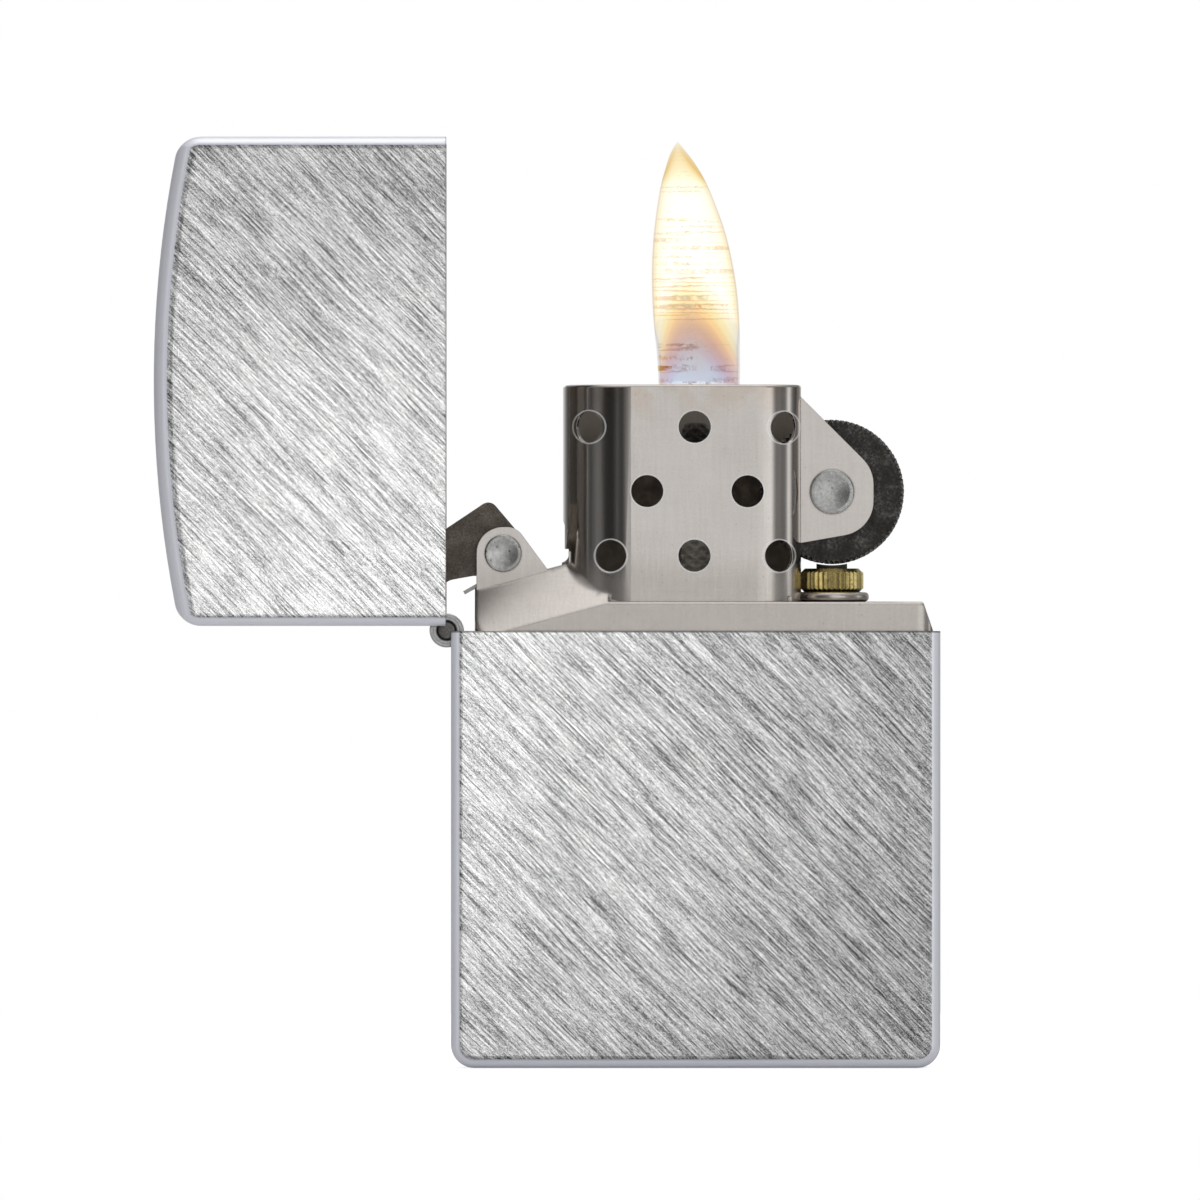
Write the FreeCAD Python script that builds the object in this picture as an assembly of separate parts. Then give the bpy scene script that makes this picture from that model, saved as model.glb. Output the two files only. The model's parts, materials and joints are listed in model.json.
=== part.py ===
"""Flip-top wick lighter: case with hinged lid, and a slide-in insert with a perforated windshield,
striker wheel, flint, wick, spring-loaded lid cam and fuel packing.

Millimetres. +Z up, +X towards the striker side, -X the hinge side, -Y the front face.
Origin: centre of the case's base. The lid is drawn in its open position, a quarter turn from closed.
"""
import FreeCAD, Part
import math
import os
from FreeCAD import Vector as V

os.makedirs("parts", exist_ok=True)

# ---------------------------------------------------------------- driving dimensions
CASE_W = 38.1          # case width, X
CASE_D = 12.8          # case depth, Y
RIM_Z = 34.0           # height of the case's rim
LID_H = 22.75          # rim of the lid to the crown of its dome
LID_GAP = 0.10         # gap between the rims when shut
WALL = 0.45            # drawn brass wall
CORNER_R = 1.8         # bottom corners of the case, seen from the front
EDGE_R = 0.95          # rounding along the front and back faces
DOME_R = 92.0          # radius of the lid's crown
DOME_CORNER_R = 2.1
DOME_EDGE_R = 1.5      # rounding along the crown's front and back edges
BASE_RECESS = 0.35     # shallow panel pressed into the base

HINGE_X = -CASE_W / 2 - 0.35
HINGE_Z = RIM_Z + LID_GAP / 2
KNUCKLE_R = 1.33
PIN_R = 0.75
PIN_INSET = 0.22         # each end of the pin sits this far inside the end knuckle
LEAF_T = 0.40
LEAF_H = 7.2
HINGE_HALF = 5.2       # half length of the row of knuckles
NOTCH_HALF = 5.35

INS_X0, INS_X1 = -17.2, 18.5      # insert tank
INS_D = 5.8                       # half depth of the tank
INS_Z0 = 1.3
DECK_Z = 36.3
SHEET = 0.35                      # insert's sheet thickness
CH_X0, CH_X1 = -10.33, 8.23       # windshield
CH_D = 5.45                       # half depth
CH_Z1 = 53.2
SHOULDER_X = -6.8                 # where the sloped shoulder has risen to the deck
ROOF_Z = 33.35                    # height of the shoulder's slope at the tank's corner
ROOF_KX, ROOF_KY = 0.268, 1.19    # its rise along X and towards the middle
CH_RL, CH_RR = 5.3, 3.4           # its corner radii, hinge side and striker side
EAR_IN, EAR_OUT = 2.25, 2.60      # the ears' faces, each side of the middle
HOLE_R = 1.245

WHEEL_X, WHEEL_Z = 10.63, 44.85
WHEEL_R = 5.64
WHEEL_HALF = 1.9
WHEEL_TEETH = 84
TOOTH_DEPTH = 0.15
WHEEL_PIN_R = 1.10
CAM_X, CAM_Z = -15.0, 40.05
CAM_HALF = 2.0
CAM_PIN_R = 0.90
CAM_FLAT = 1.75                   # distance of the cam's two detent flats from its pivot

TUBE_R, TUBE_BORE = 1.70, 1.28
COLLAR_R, COLLAR_Z0, COLLAR_Z1 = 2.46, 37.05, 38.88
FLINT_R = 1.20
PART_Z0, PART_Z1 = 32.2, 32.6     # partition plate
WICK_R = 1.25

AXIS_Y = V(0, 1, 0)


# ---------------------------------------------------------------- helpers
def box(x0, x1, y0, y1, z0, z1):
    return Part.makeBox(x1 - x0, y1 - y0, z1 - z0, V(x0, y0, z0))


def cyl_y(x, z, r, y0, y1):
    return Part.makeCylinder(r, y1 - y0, V(x, y0, z), V(0, 1, 0))


def cyl_z(x, y, r, z0, z1):
    return Part.makeCylinder(r, z1 - z0, V(x, y, z0), V(0, 0, 1))


def rounded(points, place):
    """A closed wire through 2D points (u, v, radius), each corner rounded to its radius."""
    n = len(points)
    trims = []
    for i, (u, v, r) in enumerate(points):
        p = V(u, v, 0)
        a = V(points[i - 1][0], points[i - 1][1], 0) - p
        b = V(points[(i + 1) % n][0], points[(i + 1) % n][1], 0) - p
        a.normalize()
        b.normalize()
        if r <= 0:
            trims.append((p, None, p))
            continue
        half = a.getAngle(b) / 2
        t = r / math.tan(half)
        mid = (a + b)
        mid.normalize()
        trims.append((p + a * t, p + mid * (r / math.sin(half) - r), p + b * t))
    edges = []
    for i in range(n):
        s, m, e = trims[i]
        if m is not None:
            edges.append(Part.Arc(place(s), place(m), place(e)).toShape())
        nxt = trims[(i + 1) % n][0]
        if (nxt - e).Length > 1e-6:
            edges.append(Part.LineSegment(place(e), place(nxt)).toShape())
    return Part.Wire(edges)


def plate_xz(points, y0, y1):
    w = rounded(points, lambda p: V(p.x, y0, p.y))
    return Part.Face(w).extrude(V(0, y1 - y0, 0))


def plate_xy(points, z0, z1):
    w = rounded(points, lambda p: V(p.x, p.y, z0))
    return Part.Face(w).extrude(V(0, 0, z1 - z0))


def rect(x0, x1, y, r0, r1=None):
    r1 = r0 if r1 is None else r1
    return [(x0, -y, r0), (x1, -y, r1), (x1, y, r1), (x0, y, r0)]


def face_edges(shape, half, skip):
    """Edges that lie in the planes y = +-half, apart from those that skip() names."""
    out = []
    for e in shape.Edges:
        b = e.BoundBox
        if b.YMax - b.YMin < 1e-6 and abs(abs(b.YMax) - half) < 1e-6 and not skip(b):
            out.append(e)
    return out


def one(shape):
    shape = shape.removeSplitter()
    s = shape.Solids
    if len(s) != 1:
        print("  solids:", len(s), [round(x.Volume, 3) for x in s])
    return s[0] if len(s) == 1 else shape


def save(name, shape):
    if not shape.isValid():
        print("INVALID", name)
    shape.exportStep("parts/" + name + ".step")
    b = shape.optimalBoundingBox(False)
    print("%-18s solids %d faces %4d vol %9.3f  x %.2f..%.2f y %.2f..%.2f z %.2f..%.2f" % (
        name, len(shape.Solids), len(shape.Faces), shape.Volume, b.XMin, b.XMax, b.YMin, b.YMax, b.ZMin, b.ZMax))
    return shape


def open_lid(shape):
    """From the shut position to the open one that the lid is drawn in."""
    s = shape.copy()
    s.rotate(V(HINGE_X, 0, HINGE_Z), V(0, -1, 0), 90)
    return s


# ---------------------------------------------------------------- case
def case_body(grow, half, z_top, edge_r, corner_r):
    w = CASE_W / 2 - grow
    s = plate_xz([(-w, grow, corner_r), (w, grow, corner_r), (w, z_top, 0), (-w, z_top, 0)], -half, half)
    return s.makeFillet(edge_r, face_edges(s, half, lambda b: b.ZMin > z_top - 1e-6))


def make_case():
    outer = case_body(0, CASE_D / 2, RIM_Z, EDGE_R, CORNER_R)
    inner = case_body(WALL, CASE_D / 2 - WALL, RIM_Z + 2, EDGE_R - WALL, CORNER_R - WALL)
    boss = plate_xy(rect(-16.4, 16.4, 4.5, 2.4), 0, WALL + BASE_RECESS)
    inner = inner.cut(boss)
    s = outer.cut(inner)
    s = s.cut(plate_xy(rect(-15.9, 15.9, 4.0, 2.0), -1, BASE_RECESS))
    s = s.cut(box(-CASE_W / 2 - 1, -CASE_W / 2 + WALL + 0.02, -NOTCH_HALF, NOTCH_HALF, RIM_Z - 1.5, RIM_Z + 1))
    return one(s)


# ---------------------------------------------------------------- lid, drawn shut
def dome_profile(w, crown, r_dome, r_corner, z0, half):
    zc = crown - r_dome
    zf = zc + math.sqrt((r_dome - r_corner) ** 2 - (w - r_corner) ** 2)
    fx = w - r_corner
    d = V(fx, 0, zf - zc)
    d.normalize()
    tip = V(d.x * r_dome, 0, zc + d.z * r_dome)
    mid = V(d.x + 1, 0, d.z)
    mid.normalize()
    y = V(0, -half, 0)
    pr = [V(w, 0, zf) + y, V(fx + mid.x * r_corner, 0, zf + mid.z * r_corner) + y, tip + y]
    pl = [V(-p.x, p.y, p.z) for p in pr]
    top = V(0, -half, crown)
    edges = [
        Part.LineSegment(V(-w, -half, z0), V(w, -half, z0)).toShape(),
        Part.LineSegment(V(w, -half, z0), pr[0]).toShape(),
        Part.Arc(pr[0], pr[1], pr[2]).toShape(),
        Part.Arc(pr[2], top, pl[2]).toShape(),
        Part.Arc(pl[2], pl[1], pl[0]).toShape(),
        Part.LineSegment(pl[0], V(-w, -half, z0)).toShape(),
    ]
    return Part.Face(Part.Wire(edges)).extrude(V(0, 2 * half, 0))


def crown_slab(crown, r_dome, z0, half, r):
    w = 30.0
    zc = crown - r_dome
    ze = zc + math.sqrt(r_dome ** 2 - w ** 2)
    y = V(0, -half, 0)
    edges = [
        Part.LineSegment(V(-w, 0, z0) + y, V(w, 0, z0) + y).toShape(),
        Part.LineSegment(V(w, 0, z0) + y, V(w, 0, ze) + y).toShape(),
        Part.Arc(V(w, 0, ze) + y, V(0, 0, crown) + y, V(-w, 0, ze) + y).toShape(),
        Part.LineSegment(V(-w, 0, ze) + y, V(-w, 0, z0) + y).toShape(),
    ]
    s = Part.Face(Part.Wire(edges)).extrude(V(0, 2 * half, 0))
    curved = [e for e in s.Edges if abs(abs(e.BoundBox.YMax) - half) < 1e-6 and e.BoundBox.YLength < 1e-6
              and e.BoundBox.ZMax > crown - 0.5]
    return s.makeFillet(r, curved)


def lid_body(grow, z0):
    w, half = CASE_W / 2 - grow, CASE_D / 2 - grow
    crown = RIM_Z + LID_GAP + LID_H - grow
    a = dome_profile(w, crown, DOME_R - grow, DOME_CORNER_R - grow, z0, half)
    a = a.makeFillet(EDGE_R - grow, face_edges(a, half, lambda b: b.ZMax < z0 + 1e-6))
    b = crown_slab(crown, DOME_R - grow, z0, half, DOME_EDGE_R - grow)
    return a.common(b)


def make_lid():
    rim = RIM_Z + LID_GAP
    s = lid_body(0, rim).cut(lid_body(WALL, rim - 2))
    s = s.cut(box(-CASE_W / 2 - 1, -CASE_W / 2 + WALL + 0.02, -NOTCH_HALF, NOTCH_HALF, rim - 1, rim + 1.5))
    return one(s)


# ---------------------------------------------------------------- hinge
CASE_KNUCKLES = [(-5.2, -3.2), (-1.0, 1.0), (3.2, 5.2)]
LID_KNUCKLES = [(-3.12, -1.08), (1.08, 3.12)]


def make_leaf(knuckles, up, bore):
    x0 = -CASE_W / 2 + WALL
    x1 = x0 + LEAF_T
    sgn = 1 if up else -1
    z_near, z_far = HINGE_Z + sgn * 1.55, HINGE_Z + sgn * (1.55 + LEAF_H)
    lo, hi = min(z_near, z_far), max(z_near, z_far)
    s = plate_yz_rounded(x0, x1, HINGE_HALF, lo, hi, 0.8)
    for y0, y1 in knuckles:
        ring = cyl_y(HINGE_X, HINGE_Z, KNUCKLE_R, y0, y1)
        ring = ring.makeFillet(0.12, [e for e in ring.Edges if e.BoundBox.YLength < 1e-6])
        a, b = sorted((HINGE_Z, z_near + sgn * 0.5))
        s = s.fuse(ring).fuse(box(x0, x1, y0, y1, a, b))
    s = s.cut(cyl_y(HINGE_X, HINGE_Z, bore, -7, 7))
    return one(s)


def plate_yz_rounded(x0, x1, half, z0, z1, r):
    w = rounded([(-half, z0, r), (half, z0, r), (half, z1, r), (-half, z1, r)], lambda p: V(x0, p.x, p.y))
    return Part.Face(w).extrude(V(x1 - x0, 0, 0))


def make_pin():
    s = cyl_y(HINGE_X, HINGE_Z, PIN_R, -HINGE_HALF + PIN_INSET, HINGE_HALF - PIN_INSET)
    return s.makeFillet(0.2, [e for e in s.Edges if e.BoundBox.YLength < 1e-6])


# ---------------------------------------------------------------- insert
def roof_cut(side, drop):
    """A big half-space above the sloped shoulder on one side (side = -1 front, +1 back), lowered by drop along its normal."""
    p1 = V(INS_X0, side * INS_D, ROOF_Z)
    d1 = V(1, 0, ROOF_KX)
    d2 = V(0, -side, ROOF_KY)
    d1.normalize()
    n = d1.cross(d2)
    n.normalize()
    if n.z < 0:
        n = n * -1
    p1 = p1 - n * drop
    e2 = n.cross(d1)
    e2.normalize()
    size = 60
    corner = p1 - d1 * size - e2 * size
    pts = [corner, corner + d1 * 2 * size, corner + d1 * 2 * size + e2 * 2 * size, corner + e2 * 2 * size]
    w = Part.makePolygon(pts + [pts[0]])
    return Part.Face(w).extrude(n * 60)


COVE = [(199, 1.1), (206, 1.35), (213, 1.7), (220, 1.95), (227, 1.95), (234, 1.65), (241, 1.15), (247, 0.7), (252, 0.4)]


def cove(side):
    """The drawn-up cove between the sloped shoulder and the windshield's rounded corner, for one side.
    Its edges sink a little into both, so that it joins them without slivers."""
    cx, cy, rho, sink = CH_X0 + CH_RL, CH_D - CH_RL, CH_RL - 0.04, 0.04
    wires = []
    for deg, r in COVE:
        a = math.radians(deg)
        dx, dy = math.cos(a), -math.sin(a)          # dy > 0 is outwards
        m = ROOF_KX * dx - ROOF_KY * dy
        q = math.sqrt(1 + m * m)
        z0 = ROOF_Z + ROOF_KX * (cx - INS_X0) + ROOF_KY * (INS_D - cy) - sink * q
        uc, zc = rho + r, z0 + m * (rho + r) + r * q
        foot = (uc + r * m / q, zc - r / q)
        mid_dir = V(-1, 0, 0) + V(m / q, 0, -1 / q)
        mid_dir.normalize()
        mid = (uc + r * mid_dir.x, zc + r * mid_dir.z)

        def at(u, z):
            return V(cx + dx * u, side * (cy + dy * u), z)
        corner = (rho - 0.1, z0 + m * (rho - 0.1) - 0.1)
        wires.append(Part.Wire([
            Part.LineSegment(at(*corner), at(rho - 0.1, zc + 0.02)).toShape(),
            Part.LineSegment(at(rho - 0.1, zc + 0.02), at(rho, zc)).toShape(),
            Part.Arc(at(rho, zc), at(*mid), at(*foot)).toShape(),
            Part.LineSegment(at(*foot), at(foot[0] + 0.03, foot[1] - 0.1)).toShape(),
            Part.LineSegment(at(foot[0] + 0.03, foot[1] - 0.1), at(*corner)).toShape(),
        ]))
    return Part.makeLoft(wires, True, False)


EAR_CAM = [
    (INS_X0 + 0.12, 35.6, 0), (INS_X0 + 0.12, 42.1, 2.02), (-13.97, 42.1, 1.35),
    (-11.28, 38.46, 0.55), (-9.9, 38.46, 0.9), (-9.9, 40.2, 0), (-9.6, 40.2, 0), (-9.6, 35.6, 0),
]
EAR_WHEEL = [
    (CH_X1 - 0.33, 52.56, 0), (13.87, 46.59, 2.8), (13.87, 41.86, 2.7), (8.0, 40.83, 0), (CH_X1 - 0.33, 40.83, 0),
]


def chimney_plan(grow):
    return [
        (CH_X0 + grow, -CH_D + grow, CH_RL - grow), (CH_X1 - grow, -CH_D + grow, CH_RR - grow),
        (CH_X1 - grow, CH_D - grow, CH_RR - grow), (CH_X0 + grow, CH_D - grow, CH_RL - grow),
    ]


def taper(dx):
    """The wedge taken off the striker-side shoulder, so that the lid's rim can swing past it."""
    return plate_xz([(INS_X1 - dx, 34.0, 0), (INS_X1 + 3, 34.0, 0), (INS_X1 + 3, 40, 0), (INS_X1 - 0.8 - dx, DECK_Z + 0.01, 0)], -8, 8)


def punch(x, z, lean, side):
    a = math.radians(lean)
    d = V(math.sin(a), side * math.cos(a), 0)
    # the point where the hole meets the wall's middle
    y = side * (CH_D - SHEET / 2)
    if x < CH_X0 + CH_RL:
        c = CH_X0 + CH_RL
        y = side * (CH_D - CH_RL + math.sqrt(max(0.0, (CH_RL - SHEET / 2) ** 2 - (c - x) ** 2)))
    if x > CH_X1 - CH_RR:
        c = CH_X1 - CH_RR
        y = side * (CH_D - CH_RR + math.sqrt(max(0.0, (CH_RR - SHEET / 2) ** 2 - (x - c) ** 2)))
    p = V(x, y, z)
    return Part.makeCylinder(HOLE_R, 3.2, p - d * 1.4, d)


# each hole: X, Z and how far its drilling leans round the corner, in degrees
HOLES_FRONT = [(-8.29, 49.9, -38), (-0.08, 49.9, 0), (6.86, 49.85, 36), (-3.78, 44.9, 0), (4.04, 44.88, 0),
               (-6.61, 39.87, -17), (-0.1, 39.87, 0), (6.5, 39.85, 29)]
HOLES_BACK = [(-3.95, 49.9, 0), (3.85, 49.9, 0), (-8.29, 44.9, -38), (-0.08, 44.9, 0), (6.86, 44.88, 36),
              (-3.5, 39.87, 0), (3.6, 39.87, 0)]


def make_insert():
    # outside of the tank
    right = plate_xy(rect(SHOULDER_X, INS_X1, INS_D, 0, 1.2), INS_Z0, DECK_Z)
    right = right.cut(taper(0))
    top_edges = [e for e in right.Edges if e.BoundBox.ZLength < 1e-4 and e.BoundBox.ZMin > DECK_Z - 0.02 and e.BoundBox.XMax > SHOULDER_X + 0.1]
    try:
        right = right.makeFillet(0.28, top_edges)
    except Exception as err:
        print("  deck edge left sharp:", err)
    left = plate_xy(rect(INS_X0, SHOULDER_X, INS_D, 1.6, 0), INS_Z0, 39.6)
    for side in (-1, 1):
        left = left.cut(roof_cut(side, 0))
    left = left.cut(box(-20, 0, -EAR_IN - 0.2, EAR_IN + 0.2, 36.4, 45))
    left = left.cut(box(-7.6, -6.0, -4.9, 4.9, DECK_Z, 45))
    chimney = plate_xy(chimney_plan(0), 35.0, CH_Z1)
    rim = [e for e in chimney.Edges if e.BoundBox.ZMin > CH_Z1 - 1e-4]
    chimney = chimney.makeFillet(0.25, rim)
    s = right.fuse(left).fuse(chimney)
    for side in (-1, 1):
        s = s.fuse(cove(side))
    # hollow it
    hollow_r = plate_xy(rect(SHOULDER_X - 0.1, INS_X1 - SHEET, INS_D - SHEET, 0, 0.85), INS_Z0 - 1, DECK_Z - SHEET).cut(taper(SHEET))
    hollow_l = plate_xy(rect(INS_X0 + SHEET, SHOULDER_X, INS_D - SHEET, 1.25, 0), INS_Z0 - 1, 38.6)
    for side in (-1, 1):
        hollow_l = hollow_l.cut(roof_cut(side, SHEET))
    hollow_l = hollow_l.cut(box(CH_X0 + 0.9, -6.0, -8, 8, DECK_Z - SHEET, 45))
    s = s.cut(hollow_r).cut(hollow_l)
    s = s.cut(plate_xy(chimney_plan(SHEET), 34.0, CH_Z1 + 1))
    # ears for the cam and for the wheel
    for side in (-1, 1):
        y0, y1 = sorted((side * EAR_IN, side * EAR_OUT))
        ear = plate_xz(EAR_CAM, y0, y1).cut(plate_xy(chimney_plan(SHEET), 34.0, CH_Z1 + 1))
        s = s.fuse(ear)
        s = s.fuse(plate_xz(EAR_WHEEL, y0, y1))
    # slots between the ears
    s = s.cut(box(INS_X0 - 1, CH_X0 + 1.2, -EAR_IN, EAR_IN, 35.4, 40.4))
    s = s.cut(Part.makeCylinder(EAR_IN, 8.0, V(INS_X0 - 1, 0, 40.4), V(1, 0, 0)))
    s = s.cut(box(CH_X1 - 1.2, CH_X1 + 1, -EAR_IN, EAR_IN, DECK_Z, CH_Z1 + 1))
    # the front wall's striker end stands clear of the deck
    s = s.cut(box(7.15, CH_X1 + 0.5, -CH_D - 0.1, -4.2, DECK_Z, DECK_Z + 0.42))
    # holes
    s = s.cut(cyl_y(CAM_X, CAM_Z, CAM_PIN_R, -8, 8)).cut(cyl_y(WHEEL_X, WHEEL_Z, WHEEL_PIN_R, -4, 4))
    s = s.cut(cyl_z(WHEEL_X, 0, TUBE_R, 34, 37))
    for side, holes in ((-1, HOLES_FRONT), (1, HOLES_BACK)):
        for x, z, lean in holes:
            s = s.cut(punch(x, z, lean, side))
    return one(s)


def make_partition():
    s = plate_xy(rect(INS_X0 + SHEET + 0.03, INS_X1 - SHEET - 0.03, INS_D - SHEET - 0.03, 1.2), PART_Z0, PART_Z1)
    s = s.cut(cyl_z(0, 0, WICK_R + 0.06, 30, 34)).cut(cyl_z(WHEEL_X, 0, TUBE_R, 30, 34))
    s = s.cut(cyl_z(-10.4, 0, 0.5, 30, 34))
    return one(s)


# ---------------------------------------------------------------- striker
def star(cx, cz, r, depth, n, place, phase=0.0):
    pts = []
    for i in range(2 * n):
        a = math.pi * i / n + phase
        rr = r if i % 2 == 0 else r - depth
        pts.append(place(cx + rr * math.cos(a), cz + rr * math.sin(a)))
    return Part.Face(Part.makePolygon(pts + [pts[0]]))


def make_wheel():
    s = star(WHEEL_X, WHEEL_Z, WHEEL_R, TOOTH_DEPTH, WHEEL_TEETH, lambda u, v: V(u, -WHEEL_HALF, v)).extrude(V(0, 2 * WHEEL_HALF, 0))
    for side in (-1, 1):
        y = side * WHEEL_HALF
        cone = Part.makeCone(WHEEL_R - 0.22, WHEEL_R + 1.78, 2.0, V(WHEEL_X, y, WHEEL_Z), V(0, -side, 0))
        keep = cone.fuse(Part.makeCylinder(WHEEL_R + 1.78, 4, V(WHEEL_X, y - side * 2.0, WHEEL_Z), V(0, -side, 0)))
        s = s.common(keep)
    s = s.fuse(cyl_y(WHEEL_X, WHEEL_Z, 2.3, -2.15, 2.15))
    s = s.cut(cyl_y(WHEEL_X, WHEEL_Z, WHEEL_PIN_R + 0.06, -3, 3))
    return one(s)


def make_rivet(x, z, r, head_r, head_t):
    s = cyl_y(x, z, r, -EAR_OUT, EAR_OUT)
    for side in (-1, 1):
        h = Part.makeCylinder(head_r, head_t, V(x, side * EAR_OUT, z), V(0, side, 0))
        rim = [e for e in h.Edges if e.BoundBox.YLength < 1e-6 and abs(abs(e.BoundBox.YMax) - EAR_OUT - head_t) < 1e-6]
        h = h.makeFillet(head_t * 0.45, rim)
        # a shallow dish left by the setting punch
        dish_r = head_r * 0.80
        depth = head_t * 0.42
        ball = (dish_r ** 2 + depth ** 2) / (2 * depth)
        h = h.cut(Part.makeSphere(ball, V(x, side * (EAR_OUT + head_t + ball - depth), z)))
        s = s.fuse(h)
    return one(s)


# ---------------------------------------------------------------- cam and its spring
CAM_OUTLINE = [
    (-5.95, 0.93, 0.5), (-1.02, 4.22, 0.75), (CAM_FLAT, 0.95, 0.9), (CAM_FLAT, -CAM_FLAT, 0.75),
    (-2.35, -CAM_FLAT, 1.5), (-4.3, -2.1, 1.2), (-5.15, -2.98, 0.35), (-5.95, -2.2, 0.5),
]


def make_cam():
    s = plate_xz([(CAM_X + u, CAM_Z + v, r) for u, v, r in CAM_OUTLINE], -CAM_HALF, CAM_HALF)
    s = s.cut(cyl_y(CAM_X, CAM_Z, CAM_PIN_R + 0.06, -3, 3))
    return one(s)


def strip_xz(points, thick, y0, y1):
    """A bent strip: the path's points (x, z, bend radius) with a thickness, extruded across y."""
    n = len(points)
    left, right = [], []
    for i, (x, z, r) in enumerate(points):
        dirs = []
        if i > 0:
            d = V(x - points[i - 1][0], z - points[i - 1][1], 0)
            d.normalize()
            dirs.append(d)
        if i < n - 1:
            d = V(points[i + 1][0] - x, points[i + 1][1] - z, 0)
            d.normalize()
            dirs.append(d)
        nrm = [V(-d.y, d.x, 0) for d in dirs]
        if len(nrm) == 2:
            m = nrm[0] + nrm[1]
            m.normalize()
            k = thick / 2 / (m.dot(nrm[0]))
            turn = dirs[0].x * dirs[1].y - dirs[0].y * dirs[1].x
            ro, ri = r + thick / 2, max(r - thick / 2, 0.02)
            rl, rr = (ri, ro) if turn > 0 else (ro, ri)
        else:
            m, k, rl, rr = nrm[0], thick / 2, 0, 0
        left.append((x + m.x * k, z + m.y * k, rl))
        right.append((x - m.x * k, z - m.y * k, rr))
    return plate_xz(left + right[::-1], y0, y1)


def make_cam_spring():
    t = 0.28
    path = [(-8.6, PART_Z1 + t / 2, 0), (-12.3, PART_Z1 + t / 2, 0.8), (-11.9, 38.08, 0.9), (-16.2, 38.02, 1.2), (-18.05, 36.98, 0)]
    s = strip_xz(path, t, -1.3, 1.3)
    s = s.cut(cyl_z(-10.4, 0, 0.5, 30, 34))
    return one(s)


def make_spring_rivet():
    s = cyl_z(-10.4, 0, 0.5, PART_Z0 - 0.25, PART_Z1 + 0.3)
    s = s.fuse(cyl_z(-10.4, 0, 0.95, PART_Z1 + 0.28, PART_Z1 + 0.6)).fuse(cyl_z(-10.4, 0, 0.95, PART_Z0 - 0.35, PART_Z0))
    return one(s)


# ---------------------------------------------------------------- flint train
def make_flint_tube():
    tube = cyl_z(WHEEL_X, 0, TUBE_R, 3.2, COLLAR_Z0)
    collar = star(WHEEL_X, 0, COLLAR_R, 0.13, 38, lambda u, v: V(u, v, COLLAR_Z0)).extrude(V(0, 0, COLLAR_Z1 - COLLAR_Z0))
    zt, zb = COLLAR_Z1 - 0.38, COLLAR_Z0 + 0.32
    prof = [V(0, 0, COLLAR_Z0 - 1), V(COLLAR_R - 0.3, 0, COLLAR_Z0 - 1), V(COLLAR_R - 0.3, 0, COLLAR_Z0), V(COLLAR_R + 0.02, 0, zb),
            V(COLLAR_R + 0.02, 0, zt), V(COLLAR_R - 0.36, 0, COLLAR_Z1), V(0, 0, COLLAR_Z1)]
    trim = Part.Face(Part.makePolygon(prof + [prof[0]])).revolve(V(0, 0, 0), V(0, 0, 1), 360)
    trim.translate(V(WHEEL_X, 0, 0))
    s = tube.fuse(collar.common(trim)).cut(cyl_z(WHEEL_X, 0, TUBE_BORE, 0, 45))
    return one(s)


def make_washer():
    s = cyl_z(WHEEL_X, 0, 2.9, DECK_Z, COLLAR_Z0)
    s = s.makeFillet(0.33, [e for e in s.Edges if e.BoundBox.ZLength < 1e-6 and e.BoundBox.XLength > 1])
    return one(s.cut(cyl_z(WHEEL_X, 0, TUBE_R, 30, 40)))


def make_flint():
    s = cyl_z(WHEEL_X, 0, FLINT_R, 33.6, 39.6)
    return one(s.cut(cyl_y(WHEEL_X, WHEEL_Z, WHEEL_R + 0.08, -3, 3)))


def make_pusher():
    s = cyl_z(WHEEL_X, 0, 1.18, 32.5, 33.6).fuse(cyl_z(WHEEL_X, 0, 0.58, 29.6, 32.6))
    return one(s)


def make_flint_spring():
    z0, z1, r, wire, pitch = 9.2, 32.25, 0.85, 0.19, 1.28
    helix = Part.makeHelix(pitch, z1 - z0 - 2 * wire, r)
    c = Part.Wire(Part.Circle(V(r, 0, 0), V(0, 1, 0), wire).toShape())
    s = Part.Wire(helix).makePipeShell([c], True, True)
    s = s.Solids[0] if s.Solids else Part.makeSolid(s)
    s.translate(V(WHEEL_X, 0, z0 + wire))
    return s


def make_screw():
    r0, r1, z0, z1, p = 1.05, 1.24, 2.5, 8.9, 0.5
    pts = [V(0, 0, z0), V(r0, 0, z0)]
    z = z0 + 0.4
    while z + p < z1 - 0.3:
        pts += [V(r0, 0, z), V(r1, 0, z + p / 2)]
        z += p
    pts += [V(r0, 0, z), V(r0, 0, z1), V(0, 0, z1)]
    s = Part.Face(Part.makePolygon(pts + [pts[0]])).revolve(V(0, 0, 0), V(0, 0, 1), 360)
    s.translate(V(WHEEL_X, 0, 0))
    head = cyl_z(WHEEL_X, 0, 2.2, 1.5, 2.5)
    head = head.makeFillet(0.2, [e for e in head.Edges if e.BoundBox.ZLength < 1e-6 and e.BoundBox.ZMin < 1.6])
    s = s.fuse(head).cut(box(WHEEL_X - 3, WHEEL_X + 3, -0.3, 0.3, 1.0, 2.1))
    return one(s)


# ---------------------------------------------------------------- wick, packing, felt
WICK_ROUTE = [(0, 50.3), (0, 27.0), (-6.5, 19.5), (-1.5, 12.0), (-7.0, 5.9)]


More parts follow.
